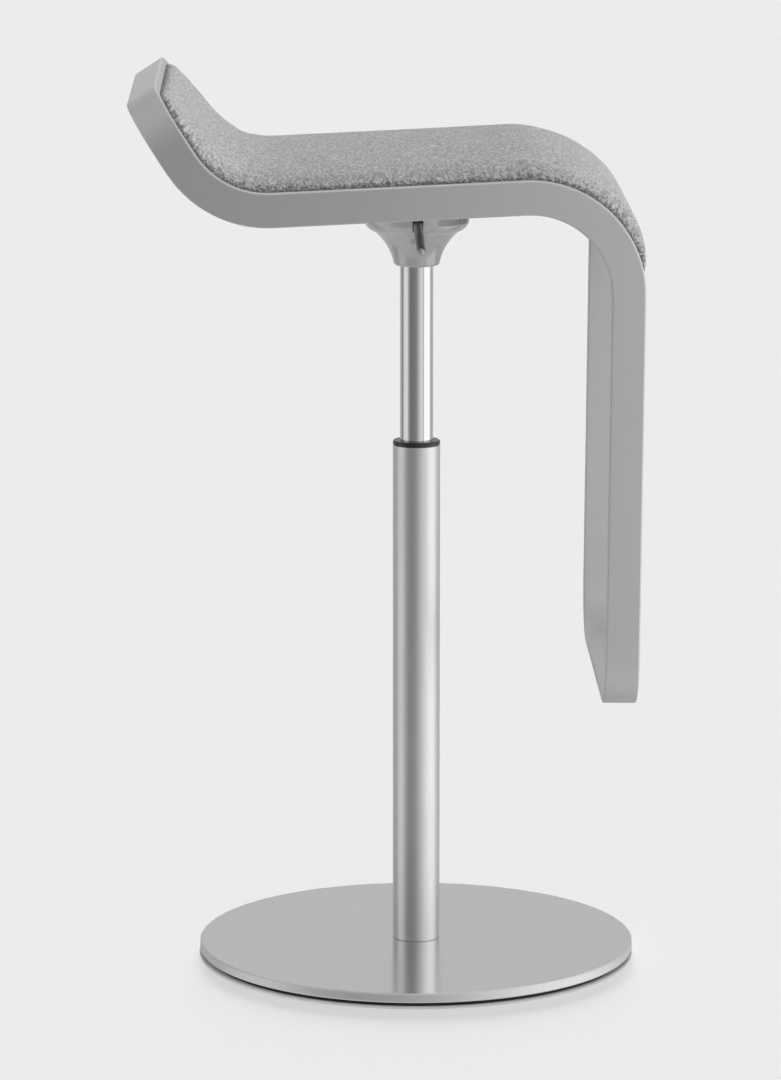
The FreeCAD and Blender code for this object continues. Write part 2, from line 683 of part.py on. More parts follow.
def build_carrier():
    """Plate, cross bars, screws and bolts between the hub and the seat shell."""
    body = doc.addObject("PartDesign::Body", "plate_blank")
    outline = new_sketch(body, "plate_outline", "XY_Plane")
    half = "(bar_spacing / 2 + bar_width / 2 + plate_margin)"
    side = "plate_width / 2"
    draw(outline, [(f"-{half}", f"-{side}"), (half, f"-{side}"), (half, side), (f"-{half}", side)])
    pad = body.newObject("PartDesign::Pad", "plate_pad")
    pad.Profile = outline
    bind(pad, Length="plate_thickness")
    round_edges(body, pad, "plate_corners", "plate_corner",
                lambda edge: abs(edge.Length - number("plate_thickness")) < 0.01)
    place_on_seat(body, level=PLATE_FOOT)

    shank = "seat_bolt_diameter / 2"
    gap = f"{shank} + fixed_gap"
    low = f"({PLATE_FOOT} - {OVERSHOOT})"
    plate_holes = [bolt_hole(f"plate_hole_{index}", index, gap, low, BAR_FOOT) for index in range(4)]
    plate_sinks = [hub_screw(countersink, f"plate_sink_{index}", index) for index in range(4)]
    keep(cut("plate", body, plate_holes + plate_sinks), "seat_plate")
    keep(grouped("hub_screw_set", [hub_screw(countersunk_screw, f"hub_screw_{index}", index)
                                   for index in range(4)]), "hub_screws")

    reach = "(seat_width - 2 * strap_thickness)"
    for label, ahead, pair in (("cross_bar_front", 1, (0, 3)), ("cross_bar_rear", -1, (1, 2))):
        bar = box(f"{label}_blank", "bar_width", reach, "bar_thickness")
        place_on_seat(bar, f"{ahead} * bar_spacing / 2 - bar_width / 2", f"-{reach} / 2", BAR_FOOT)
        holes = [bolt_hole(f"{label}_hole_{index}", index, gap, low, f"({SHELL_FOOT} + {OVERSHOOT})")
                 for index in pair]
        keep(cut(f"{label}_drilled", bar, holes), label)

    bolts = []
    nuts = []
    head = "seat_bolt_head / 2"
    for index in range(4):
        bolt = turned(f"seat_bolt_{index}", [
            ("0", f"{PLATE_FOOT} - seat_bolt_head_height"),
            (head, f"{PLATE_FOOT} - seat_bolt_head_height"), (head, PLATE_FOOT), (shank, PLATE_FOOT),
            (shank, SHELL_TOP), ("0", SHELL_TOP)])
        bolts.append(place_on_seat(bolt, *seat_bolt_spot(index, "0")))
        nut = turned(f"tee_nut_{index}", [
            (gap, SHELL_FOOT), ("tee_nut_barrel / 2", SHELL_FOOT),
            ("tee_nut_barrel / 2", f"{SHELL_TOP} - tee_nut_flange_height"),
            ("tee_nut_flange / 2", f"{SHELL_TOP} - tee_nut_flange_height"),
            ("tee_nut_flange / 2", SHELL_TOP), (gap, SHELL_TOP)])
        nuts.append(place_on_seat(nut, *seat_bolt_spot(index, "0")))
    keep(grouped("seat_bolt_set", bolts), "seat_bolts")
    keep(grouped("tee_nut_set", nuts), "tee_nuts")


# Seat pad

def inner_ends(inset):
    """Where a piece inside the loop starts and ends, clear of the loop's back by an inset."""
    return f"(strap_thickness + {inset})", f"({WRAP_RUN} + ({inset}) / front_radius * 180 / pi)"


def plan_band(name, lower, upper, inset, front_corner):
    """Band inside the loop, clear of its sides by an inset, with the loop's corners at the back."""
    clear = f"(strap_thickness + {inset})"
    body = doc.addObject("PartDesign::Body", name)
    feature = extruded(body, "Pad", f"{name}_width", lower, upper, f"seat_width - 2 * {clear}")
    for end, corner, radius in (("rear", 0, f"corner_radius - {clear}"), ("front", -1, front_corner)):
        feature = round_edges(body, feature, f"{name}_{end}", radius, spans(lower[corner], upper[corner]))
    return body


def eased_radius(full, low, turn):
    """Radius of an arc that leaves a circle of radius full smoothly and ends a turn on, at radius low."""
    return f"({full} - ({full} * {full} - {low} * {low}) / (2 * ({full} - {low} * cos({turn}))))"


def cushion_top(inset, rear_inset, front_run):
    """Upper limit of the cushion from the side: it thins through its back and to its front end."""
    edge = f"(strap_height / 2 - {inset})"
    crown = f"({edge} + cushion_rise + cushion_swell)"
    line = strap_line(crown, rear_inset, front_run)

    full = f"(rear_radius - {crown})"
    low = f"(rear_radius - {edge} - cushion_bend_rise)"
    line[0] = strap_line(f"({edge} + cushion_rear_rise)", rear_inset, front_run)[0]
    line[1] = stepped(REAR_CENTRE, outward(REAR_RUN, f"-{low}"))
    line[1] += (eased_radius(full, low, "rear_angle + seat_tilt"),)

    full = f"(front_radius + {crown})"
    low = f"(front_radius + {edge} + cushion_front_rise)"
    line[-1] = stepped(FRONT_CENTRE, outward(f"({front_run} + cushion_front_taper)", full))
    line[-1] += (f"-{eased_radius(full, low, 'cushion_front_taper')}",)
    line.append(stepped(FRONT_CENTRE, outward(front_run, low)))
    return line


def cushion_form(name, inset, foot):
    """Crowned pad that rolls down at its sides and draws in below, cut to the loop's plan."""
    half = f"(seat_width / 2 - strap_thickness - soft_gap + cushion_swell - {inset})"
    roll = f"(cushion_roll - {inset})"
    roll_level = "(strap_height / 2 - cushion_roll_drop)"
    sag = "(cushion_rise + cushion_roll_drop - cushion_roll)"
    crown = f"(({half} - {roll}) * ({half} - {roll}) + {sag} * {sag}) / (2 * {sag})"
    body = doc.addObject("PartDesign::Body", f"{name}_sweep")
    spine = new_sketch(body, f"{name}_spine", "XZ_Plane")
    line = strap_line("0", "0", f"({WRAP_RUN} - {OVERSHOOT} / 2)")
    draw(spine, line, closed=False)
    section = new_sketch(body, f"{name}_section", "YZ_Plane")
    start = f"vector(0; {line[0][1]}; {line[0][0]})"
    bind(section, AttachmentOffset=f"placement({start}; rotation(vector(1; 0; 0); rear_angle))")
    draw(section, [
        (f"-({half} - cushion_draw)", foot), (f"{half} - cushion_draw", foot),
        (half, roll_level, roll), (f"{half} - {roll}", f"{roll_level} + {roll}", crown),
        (f"-({half} - {roll})", f"{roll_level} + {roll}", roll), (f"-{half}", roll_level)])
    sweep = body.newObject("PartDesign::AdditivePipe", f"{name}_pipe")
    sweep.Profile = section
    sweep.Spine = spine
    ends = inner_ends(f"(soft_gap + {inset})")
    below = strap_line(f"(-strap_height / 2 - {OVERSHOOT})", *ends)
    plan = plan_band(f"{name}_plan", below, cushion_top(inset, *ends), f"(soft_gap + {inset})",
                     f"front_corner - {inset}")
    return common(f"{name}_form", body, plan)


def build_seat_pad():
    """Bent plywood shell, foam on it, and the cloth drawn over both."""
    ends = inner_ends("shell_end_gap")
    shell = plan_band("shell_blank", strap_line(SHELL_FOOT, *ends), strap_line(SHELL_TOP, *ends),
                      "shell_side_gap", "front_corner")
    holes = []
    for index in range(4):
        flange_foot = f"({SHELL_TOP} - tee_nut_flange_height - fixed_gap)"
        holes.append(bolt_hole(f"shell_hole_{index}", index, "tee_nut_barrel / 2 + fixed_gap",
                               f"({SHELL_FOOT} - {OVERSHOOT})", flange_foot))
        holes.append(bolt_hole(f"shell_sink_{index}", index, "tee_nut_flange / 2 + fixed_gap",
                               flange_foot, f"({SHELL_TOP} + {OVERSHOOT})"))
    keep(cut("shell_drilled", shell, holes), "seat_shell")

    keep(cushion_form("foam", "(cover_thickness + soft_gap)", f"{SHELL_TOP} + soft_gap"), "seat_foam")
    outside = cushion_form("cover", "0", f"{SHELL_FOOT} + soft_gap")
    inside = cushion_form("cover_inside", "cover_thickness", f"{SHELL_FOOT} - {OVERSHOOT} / 2")
    keep(cut("cover_skin", outside, [inside]), "seat_cover")


def check_and_write():
    """Stop on any failed object, then write each sub-part."""
    doc.recompute()
    failed = [thing.Label for thing in doc.Objects if {"Invalid", "Error"} & set(thing.State)]
    failed += [node.Label for node in nodes if node.Shape.isNull() or not node.Shape.isValid()]
    if failed:
        raise RuntimeError("failed: " + ", ".join(failed))
    os.makedirs("parts", exist_ok=True)
    for node in nodes:
        node.Shape.exportStep(f"parts/{node.Label}.step")
        print(f"{node.Label}: {len(node.Shape.Solids)} solid, {node.Shape.Volume:.0f} mm3")


build_foot()
build_bearing()
build_rod()
build_gas_cylinder()
build_hub()
build_lever()
build_seat_frame()
build_carrier()
build_seat_pad()
check_and_write()
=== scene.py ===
"""Bar stool on a gas lift: its finishes, its felt seat pad and a plain studio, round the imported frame.

Metres and radians, in the frame's own axes: +Z is up and +X is the front, where the footrest hangs.
"""
import math

import bmesh
import bpy
from bpy.props import FloatProperty, FloatVectorProperty, PointerProperty
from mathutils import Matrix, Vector


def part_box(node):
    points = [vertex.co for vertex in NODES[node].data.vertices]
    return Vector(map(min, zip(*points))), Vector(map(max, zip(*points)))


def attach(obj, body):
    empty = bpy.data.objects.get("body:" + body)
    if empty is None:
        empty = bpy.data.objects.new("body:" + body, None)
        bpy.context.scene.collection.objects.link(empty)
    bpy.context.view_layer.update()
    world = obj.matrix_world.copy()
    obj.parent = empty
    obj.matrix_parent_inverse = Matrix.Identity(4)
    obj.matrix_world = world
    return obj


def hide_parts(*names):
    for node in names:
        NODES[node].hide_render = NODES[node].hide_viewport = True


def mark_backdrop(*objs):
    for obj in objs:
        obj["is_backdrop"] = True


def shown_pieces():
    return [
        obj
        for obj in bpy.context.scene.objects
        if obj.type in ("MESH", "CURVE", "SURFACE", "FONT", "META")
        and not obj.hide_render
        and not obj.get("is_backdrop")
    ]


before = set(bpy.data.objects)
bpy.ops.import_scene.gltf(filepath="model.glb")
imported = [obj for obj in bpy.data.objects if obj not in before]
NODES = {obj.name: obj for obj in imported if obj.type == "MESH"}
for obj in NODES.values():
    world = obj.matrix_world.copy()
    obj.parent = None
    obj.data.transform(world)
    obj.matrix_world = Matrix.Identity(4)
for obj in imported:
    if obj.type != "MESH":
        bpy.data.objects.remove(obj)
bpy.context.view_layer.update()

bl_info = {
    "name": "Bar Stool Looks",
    "version": (1, 0, 0),
    "blender": (4, 5, 0),
    "location": "3D View > Sidebar > Stool",
    "description": "Finishes, felt seat pad and studio for a bar stool on a gas lift",
    "category": "Object",
}


# Settings

def length(name, description, default):
    """Size in metres."""
    return FloatProperty(name=name, description=description, default=default, unit="LENGTH")


def angle(name, description, degrees):
    """Angle, given in degrees."""
    return FloatProperty(name=name, description=description, default=math.radians(degrees), unit="ROTATION")


def share(name, description, default):
    """Share from 0 to 1."""
    return FloatProperty(name=name, description=description, default=default, min=0, max=1, subtype="FACTOR")


def amount(name, description, default):
    """Plain positive number."""
    return FloatProperty(name=name, description=description, default=default, min=0)


def tone(name, description, red, green, blue):
    """Colour, as linear light."""
    return FloatVectorProperty(name=name, description=description, default=(red, green, blue, 1),
                               size=4, min=0, max=1, subtype="COLOR")


class PadSizes(bpy.types.PropertyGroup):
    """Line of the strap round the seat, and the pad that lies in it."""
    seat_level: length("Seat level", "Height of the strap's middle over the column", 0.6645)
    seat_tilt: angle("Seat tilt", "Rise of the seat to the front", 2.7)
    seat_rear: length("Seat rear", "Where the flat of the seat starts", -0.1203)
    seat_front: length("Seat front", "Where the flat of the seat ends", 0.0843)
    rear_radius: length("Rear radius", "Bend from the seat up to the back", 0.0823)
    rear_angle: angle("Rear angle", "Slope of the back", 57)
    rear_length: length("Rear length", "Straight strap behind the rear bend", 0.0612)
    front_radius: length("Front radius", "Bend from the seat down to the footrest", 0.0797)
    front_wrap: angle("Front wrap", "How far the pad goes round the front bend", 83)
    strap_height: length("Strap height", "Width of the strap seen from the side", 0.028)
    half_width: length("Half width", "Middle of the pad to its side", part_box("seat_cover")[1].y)
    rear_gap: length("Rear gap", "Strap and clearance behind the pad", 0.0083)
    rear_corner: length("Rear corner", "Corner of the pad at the back", 0.0417)
    front_corner: length("Front corner", "Corner of the pad at its front end", 0.014)
    roll: length("Roll", "Radius that the cloth rolls over at the edge", 0.016)
    roll_lead: length("Roll lead", "How far the roll has gone at the outline", 0.0008)
    roll_drop: length("Roll drop", "How far below the strap's edge the roll starts", 0.005)
    crown: length("Crown", "Rise of the middle over the sides", 0.005)
    rear_rise: length("Rear rise", "Height of the pad over its roll at the back end", 0.009)
    bend_rise: length("Bend rise", "The same where the rear bend starts", 0.0155)
    front_rise: length("Front rise", "The same at the front end", 0.0058)
    ease: length("Ease", "Rounding where an end's height meets the roll", 0.004)
    front_taper: angle("Front taper", "Turn over which the front end thins", 60)
    shell_level: length("Shell level", "Underside of the wooden shell from the strap's middle", -0.009)
    cloth_thickness: length("Cloth thickness", "Felt", 0.001)
    swell_limit: length("Swell limit", "Furthest that pressed cloth may move", 0.0012)
    swell_pressure: amount("Swell pressure", "Push of the foam under the cloth", 4)


class FinishSettings(bpy.types.PropertyGroup):
    """Colours and gloss of the stool's surfaces."""
    disc_tone: tone("Disc", "Brushed steel of the foot", 0.755, 0.755, 0.755)
    column_tone: tone("Column", "Brushed steel of the column", 0.72, 0.72, 0.72)
    strap_tone: tone("Strap", "Satin steel of the loop", 0.69, 0.69, 0.69)
    chrome_tone: tone("Chrome", "Polished cylinder and rod", 0.72, 0.72, 0.72)
    lever_tone: tone("Lever", "Dark chrome of the lever", 0.5, 0.5, 0.5)
    hub_tone: tone("Hub", "Metallic lacquer on the casting", 0.38, 0.38, 0.38)
    bush_tone: tone("Bush", "Black plastic", 0.018, 0.018, 0.018)
    nylon_tone: tone("Nylon", "Pale plastic inside the column", 0.62, 0.6, 0.55)
    rubber_tone: tone("Rubber", "Pads and seals", 0.02, 0.02, 0.02)
    zinc_tone: tone("Zinc", "Plated screws", 0.55, 0.55, 0.53)
    coat_tone: tone("Powder coat", "Black clip on the rod", 0.025, 0.025, 0.025)
    wood_light: tone("Light wood", "Pale grain of the stained shell", 0.13, 0.128, 0.125)
    wood_dark: tone("Dark wood", "Dark grain of the stained shell", 0.06, 0.059, 0.058)
    felt_dark: tone("Dark fibre", "Darkest wool in the felt", 0.145, 0.145, 0.145)
    felt_mid: tone("Middle fibre", "Most of the wool in the felt", 0.385, 0.385, 0.385)
    felt_light: tone("Light fibre", "Lightest wool in the felt", 0.67, 0.67, 0.67)
    disc_roughness: share("Disc roughness", "Blur of what the foot mirrors", 0.15)
    rim_roughness: share("Rim roughness", "Blur of what the foot's turned rim mirrors", 0.52)
    column_roughness: share("Column roughness", "Blur of what the column mirrors", 0.4)
    strap_roughness: share("Strap roughness", "Blur of what the strap mirrors", 0.6)
    chrome_roughness: share("Chrome roughness", "Blur of what the chrome mirrors", 0.12)


class StageSettings(bpy.types.PropertyGroup):
    """Floor, light and camera."""
    floor_tone: tone("Floor", "Pale floor", 0.84, 0.84, 0.84)
    sky_strength: amount("Sky strength", "Even light from all round", 0.25)
    mirror_strength: amount("Mirror strength", "Sky as the metal mirrors it", 0.8)
    ring_radius: length("Ring radius", "From the column to the ring that the metal mirrors", 0.9)
    ring_foot: length("Ring foot", "Lower edge of the ring", -0.3)
    ring_middle: length("Ring middle", "Where the ring's upper band starts", 1.0)
    ring_top: length("Ring top", "Upper edge of the ring", 1.9)
    ring_floor: amount("Ring floor", "Brightness of the ring's own floor", 0.65)
    camera_lens: amount("Lens", "Focal length in millimetres on a 36 mm frame", 176.67)
    camera_place: FloatVectorProperty(name="Camera", description="Place of the camera", subtype="TRANSLATION",
                                      default=(-0.1057, -4.4066, 1.1884))
    camera_pitch: angle("Camera pitch", "How far the camera looks down", 10.677)
    camera_turn: angle("Camera turn", "How far the camera looks to the front of the stool", 1.089)


# Shader nodes

def feed(tree, socket, value):
    """Give a socket a constant, or another node's output as a link."""
    if isinstance(value, bpy.types.NodeSocket):
        tree.links.new(value, socket)
    else:
        socket.default_value = value


def add(tree, kind, sockets=None, **settings):
    """New node with its settings and what feeds its sockets."""
    node = tree.nodes.new(kind)
    for name, value in settings.items():
        setattr(node, name, value)
    for name, value in (sockets or {}).items():
        feed(tree, node.inputs[name], value)
    return node


def noise(tree, vector, scale, detail=2.0, roughness=0.5, distortion=0.0):
    """Value of a noise texture."""
    sockets = {"Vector": vector, "Scale": scale, "Detail": detail, "Roughness": roughness,
               "Distortion": distortion}
    return add(tree, "ShaderNodeTexNoise", sockets).outputs["Fac"]


def spread(tree, value, low, high, to_low=0.0, to_high=1.0):
    """Value stretched from one range to another, and held inside it."""
    sockets = {"Value": value, "From Min": low, "From Max": high, "To Min": to_low, "To Max": to_high}
    return add(tree, "ShaderNodeMapRange", sockets).outputs["Result"]


def mixed(tree, mask, first, second):
    """Colour between two colours."""
    node = add(tree, "ShaderNodeMix", data_type="RGBA")
    colours = [socket for socket in node.inputs if socket.type == "RGBA"]
    for socket, value in zip([node.inputs["Factor"], *colours], (mask, first, second)):
        feed(tree, socket, value)
    return next(socket for socket in node.outputs if socket.type == "RGBA")


def bumped(tree, height, distance, strength=1.0, normal=None):
    """Normal of a surface raised by a height."""
    sockets = {"Height": height, "Distance": distance, "Strength": strength}
    if normal:
        sockets["Normal"] = normal
    return add(tree, "ShaderNodeBump", sockets).outputs["Normal"]


def scaled(colour, factor):
    """Colour made lighter or darker."""
    return tuple(min(1, part * factor) for part in tuple(colour)[:3]) + (1,)


def shaded(tree, mask, colour, low, high):
    """Colour that a mask varies between a darker and a lighter shade of itself."""
    return mixed(tree, mask, scaled(colour, low), scaled(colour, high))


def dulled(tree, mask, roughness, low, high):
    """Roughness that a mask varies between a smaller and a larger share of itself."""
    return spread(tree, mask, 0, 1, roughness * low, roughness * high)


def new_group(name, inputs, output):
    """Empty shader group with named sockets, as its tree, its input node and its output socket."""
    tree = bpy.data.node_groups.new(name, "ShaderNodeTree")
    for label, (kind, default) in inputs.items():
        socket = tree.interface.new_socket(label, in_out="INPUT", socket_type=kind)
        socket.default_value = default
    tree.interface.new_socket(output, in_out="OUTPUT", socket_type="NodeSocketFloat")
    entry = tree.nodes.new("NodeGroupInput")
    leave = tree.nodes.new("NodeGroupOutput")
    return tree, entry, leave.inputs[output]


def grain_lines_group():
    """Fine parallel lines, long where Stretch is small, with a broken length like a belt leaves them."""
    tree, entry, leave = new_group("Grain Lines", {
        "Stretch": ("NodeSocketVector", (8, 900, 900)),
        "Break": ("NodeSocketFloat", 0.55),
    }, "Lines")
    place = add(tree, "ShaderNodeTexCoord").outputs["Object"]
    stretched = add(tree, "ShaderNodeVectorMath", {0: place, 1: entry.outputs["Stretch"]},
                    operation="MULTIPLY").outputs["Vector"]
    lines = noise(tree, stretched, scale=1.0, detail=3.0, roughness=entry.outputs["Break"])
    tree.links.new(spread(tree, lines, 0.25, 0.75), leave)
    return tree


def handling_marks_group():
    """Faint clouds where hands and cloths have been."""
    tree, entry, leave = new_group("Handling Marks", {"Size": ("NodeSocketFloat", 14)}, "Marks")
    place = add(tree, "ShaderNodeTexCoord").outputs["Object"]
    clouds = noise(tree, place, entry.outputs["Size"], detail=4.0, roughness=0.6, distortion=0.8)
    tree.links.new(spread(tree, clouds, 0.3, 0.7), leave)
    return tree


def fine_grit_group():
    """Even grit of a blasted, cast or moulded surface."""
    tree, entry, leave = new_group("Fine Grit", {"Size": ("NodeSocketFloat", 1500)}, "Grit")
    place = add(tree, "ShaderNodeTexCoord").outputs["Object"]
    tree.links.new(noise(tree, place, entry.outputs["Size"], detail=2.0, roughness=0.6), leave)
    return tree


GROUP_MAKERS = {"Grain Lines": grain_lines_group, "Handling Marks": handling_marks_group,
                "Fine Grit": fine_grit_group}


def effect(tree, name, **inputs):
    """Output of a shared group, built the first time that it is placed."""
    group = bpy.data.node_groups.get(name) or GROUP_MAKERS[name]()
    return add(tree, "ShaderNodeGroup", inputs, node_tree=group).outputs[0]


def new_finish(name, colour, roughness, metallic=0.0, **constants):
    """Material with a Principled shader, as its tree and the shader's inputs."""
    material = bpy.data.materials.new(name)
    material.use_nodes = True
    shader = material.node_tree.nodes["Principled BSDF"]
    shader.inputs["Base Color"].default_value = colour
    shader.inputs["Roughness"].default_value = roughness
    shader.inputs["Metallic"].default_value = metallic
    for label, value in constants.items():
        shader.inputs[label.replace("_", " ")].default_value = value
    return material, material.node_tree, shader.inputs


# Finishes

# Brushed lines: waves per metre along and across them.
LINES_ALONG = 9
LINES_ACROSS = 1900
# How far up a face looks where a turned side ends, and where the brushed top starts.
SIDE_FACING = 0.75
TOP_FACING = 0.97
# How the nap of the felt draws its wool out across the seat.
NAP = (1, 0.36, 1)
# Noise that gives the darkest and the lightest wool, and where the middle tone lies between them.
WOOL_DARK = 0.82
WOOL_LIGHT = 1.19
WOOL_MIDDLE = 0.45
# Pale clouds and dark tufts in the felt: how strong they are, and the tone of a tuft.
CLOUD_STRENGTH = 0.12
TUFT_STRENGTH = 0.3
TUFT_SHADE = 0.66
# Painted shade along the felt's rim, where it rolls down into the crease at the strap: where it starts to
# fade and where it ends, in from the outline, how far its flecks shift that, how strong it is, and its tone.
PAINTED_SHADE_FADE = 0.006
PAINTED_SHADE_END = 0.0086
PAINTED_SHADE_SHIFT = 0.012
PAINTED_SHADE_STRENGTH = 0.72
PAINTED_SHADE_TONE = 0.55


def brushed_steel(name, colour, roughness, axis, turned=None):
    """Steel brushed along an axis. Upright sides that were turned have a roughness of their own."""
    material, tree, shader = new_finish(name, colour, roughness, metallic=1.0)
    stretch = [LINES_ACROSS] * 3
    stretch["XYZ".index(axis)] = LINES_ALONG
    lines = effect(tree, "Grain Lines", Stretch=stretch)
    marks = effect(tree, "Handling Marks", Size=9.0)
    gloss = dulled(tree, marks, roughness, 0.95, 1.07)
    if turned:
        facing = add(tree, "ShaderNodeTexCoord").outputs["Normal"]
        upward = add(tree, "ShaderNodeSeparateXYZ", {0: facing}).outputs["Z"]
        gloss = spread(tree, upward, SIDE_FACING, TOP_FACING, turned, gloss)
    tree.links.new(shaded(tree, lines, colour, 0.97, 1.03), shader["Base Color"])
    tree.links.new(gloss, shader["Roughness"])
    tree.links.new(bumped(tree, lines, distance=0.000003), shader["Normal"])
    return material


def satin_steel(name, colour, roughness):
    """Blasted steel with an even, close grit."""
    material, tree, shader = new_finish(name, colour, roughness, metallic=1.0)
    grit = effect(tree, "Fine Grit", Size=1400.0)
    marks = effect(tree, "Handling Marks", Size=7.0)
    tree.links.new(shaded(tree, grit, colour, 0.92, 1.07), shader["Base Color"])
    tree.links.new(dulled(tree, marks, roughness, 0.94, 1.08), shader["Roughness"])
    tree.links.new(bumped(tree, grit, distance=0.00004), shader["Normal"])
    return material


def polished_chrome(name, colour, roughness):
    """Chrome with the faintest wipe marks."""
    material, tree, shader = new_finish(name, colour, roughness, metallic=1.0)
    marks = effect(tree, "Handling Marks", Size=22.0)
    tree.links.new(dulled(tree, marks, roughness, 0.8, 1.3), shader["Roughness"])
    return material


def cast_lacquer(name, colour):
    """Clear, glossy lacquer over a casting whose skin still shows a little."""
    material, tree, shader = new_finish(name, colour, roughness=0.4, metallic=0.15, Coat_Weight=1.0,
                                        Coat_Roughness=0.1, Coat_IOR=2.0)
    grit = effect(tree, "Fine Grit", Size=420.0)
    marks = effect(tree, "Handling Marks", Size=18.0)
    tree.links.new(shaded(tree, marks, colour, 0.97, 1.03), shader["Base Color"])
    tree.links.new(bumped(tree, grit, distance=0.00006), shader["Normal"])
    return material


def moulded_plastic(name, colour, roughness):
    """Plastic with a fine moulded grain."""
    material, tree, shader = new_finish(name, colour, roughness)
    grit = effect(tree, "Fine Grit", Size=1100.0)
    tree.links.new(shaded(tree, grit, colour, 0.85, 1.15), shader["Base Color"])
    tree.links.new(dulled(tree, spread(tree, grit, 0.2, 0.8), roughness, 0.85, 1.15), shader["Roughness"])
    tree.links.new(bumped(tree, grit, distance=0.00005), shader["Normal"])
    return material


def plated_steel(name, colour):
    """Zinc plate: dull metal with cloudy patches."""
    material, tree, shader = new_finish(name, colour, roughness=0.36, metallic=1.0)
    marks = effect(tree, "Handling Marks", Size=160.0)
    tree.links.new(shaded(tree, marks, colour, 0.8, 1.12), shader["Base Color"])
    tree.links.new(spread(tree, marks, 0, 1, to_low=0.28, to_high=0.46), shader["Roughness"])
    return material


def powder_coat(name, colour):
    """Black powder coat with its orange-peel skin."""
    material, tree, shader = new_finish(name, colour, roughness=0.45)
    grit = effect(tree, "Fine Grit", Size=700.0)
    tree.links.new(shaded(tree, grit, colour, 0.8, 1.3), shader["Base Color"])
    tree.links.new(bumped(tree, grit, distance=0.00012), shader["Normal"])
    return material


def stained_ply(name, light, dark):
    """Grey-stained face veneer: long grain across the seat, under a thin lacquer."""
    material, tree, shader = new_finish(name, light, roughness=0.5, Coat_Weight=0.15, Coat_Roughness=0.3)
    rings = effect(tree, "Grain Lines", Stretch=(55, 5, 55), Break=0.6)
    pores = effect(tree, "Grain Lines", Stretch=(900, 40, 900), Break=0.5)
    grain = mixed(tree, rings, light, dark)
    specks = spread(tree, pores, 0.55, 1, to_high=0.35)
    tree.links.new(mixed(tree, specks, grain, scaled(dark, 0.6)), shader["Base Color"])
    tree.links.new(bumped(tree, pores, distance=0.00008), shader["Normal"])
    return material


def wool_felt(name, dark, mid, light):
    """Grey wool felt: light and dark fibres pressed together, with painted shade where it rolls down to the
    strap.
    """
    material, tree, shader = new_finish(name, mid, roughness=0.95, Sheen_Weight=0.25, Sheen_Roughness=0.5)
    place = add(tree, "ShaderNodeTexCoord").outputs["Object"]
    napped = add(tree, "ShaderNodeVectorMath", {0: place, 1: NAP}, operation="MULTIPLY").outputs["Vector"]
    flecks = noise(tree, napped, scale=430.0, detail=3.0, roughness=0.7, distortion=0.4)
    fibres = noise(tree, place, scale=1700.0, detail=3.0, roughness=0.65, distortion=1.2)
    tufts = noise(tree, napped, scale=210.0, detail=2.0, roughness=0.55)
    clouds = noise(tree, place, scale=26.0, detail=3.0, roughness=0.55)

    wool = add(tree, "ShaderNodeMath", {0: flecks, 1: fibres}, operation="ADD").outputs[0]
    ramp = add(tree, "ShaderNodeValToRGB", {"Fac": spread(tree, wool, WOOL_DARK, WOOL_LIGHT)})
    stops = ramp.color_ramp.elements
    stops[0].color = tuple(dark)
    stops[1].color = tuple(light)
    stops.new(WOOL_MIDDLE).color = tuple(mid)
    pale = spread(tree, clouds, 0.3, 0.7, to_high=CLOUD_STRENGTH)
    cloudy = mixed(tree, pale, ramp.outputs["Color"], tuple(light))
    deep = spread(tree, tufts, 0.38, 0.62, to_high=TUFT_STRENGTH)
    tufted = mixed(tree, deep, cloudy, scaled(mid, TUFT_SHADE))

    # Painted shade: the felt's colour darkens in from its outline, where it rolls down into the crease at the
    # strap.
    inset = add(tree, "ShaderNodeAttribute", attribute_name=EDGE_INSET).outputs["Fac"]
    ragged = add(tree, "ShaderNodeMath", {0: flecks, 1: PAINTED_SHADE_SHIFT, 2: inset}, operation="MULTIPLY_ADD")
    painted_shade = spread(tree, ragged.outputs[0], PAINTED_SHADE_FADE, PAINTED_SHADE_END, to_low=PAINTED_SHADE_STRENGTH, to_high=0.0)
    tree.links.new(mixed(tree, painted_shade, tufted, scaled(dark, PAINTED_SHADE_TONE)), shader["Base Color"])
    pile = bumped(tree, flecks, distance=0.0011, strength=0.5)
    tree.links.new(bumped(tree, fibres, distance=0.0004, strength=0.7, normal=pile), shader["Normal"])
    return material


def dress(material, *names):
    """Give CAD nodes a finish."""
    for name in names:
        mesh = NODES[name].data
        mesh.materials.clear()
        mesh.materials.append(material)


# Seat pad

# Names of the pad's distance from its outline, and of the points that are held while it swells.
EDGE_INSET = "edge_inset"
HELD = "held"
# Cloth below the roll, as steps in from the pad's outline and down from the roll to the shell's underside.
WALL_STEPS = [(0.0004, 0.25), (0.0014, 0.5), (0.0026, 0.75), (0.0034, 0.93)]
# Hem folded under the shell, as steps in from the outline and out from the shell's underside.
HEM_STEPS = [(0.0040, 0.0002), (0.0056, 0.0009), (0.0085, 0.0010), (0.0115, 0.0009), (0.0122, -0.0002)]
# Rows of the mesh: round a corner, and how far apart between the ends; columns over the roll.
CORNER_ROWS = 12
ROW_STEP = 0.006
ROLL_COLUMNS = (0, 0.03, 0.09, 0.18, 0.3, 0.45, 0.62, 0.8, 1)
CROWN_COLUMNS = 26
# Power of the front end's taper: the larger, the later it thins.
TAPER_POWER = 1.7
# Swelling of the cloth: its length, and the part of the roll, from the outline, where the cloth is held.
SWELL_FRAMES = 20
HELD_PART = 0.125


def new_mesh(name, shape):
    """Mesh with the faces of an edited shape, which is then freed."""
    mesh = bpy.data.meshes.new(name)
    shape.to_mesh(mesh)
    shape.free()
    return mesh


def heading(slope):
    """Direction along a line seen from the side."""
    return Vector((math.cos(slope), math.sin(slope)))


def outward(slope):
    """Direction out of such a line, to the sitter."""
    return Vector((-math.sin(slope), math.cos(slope)))


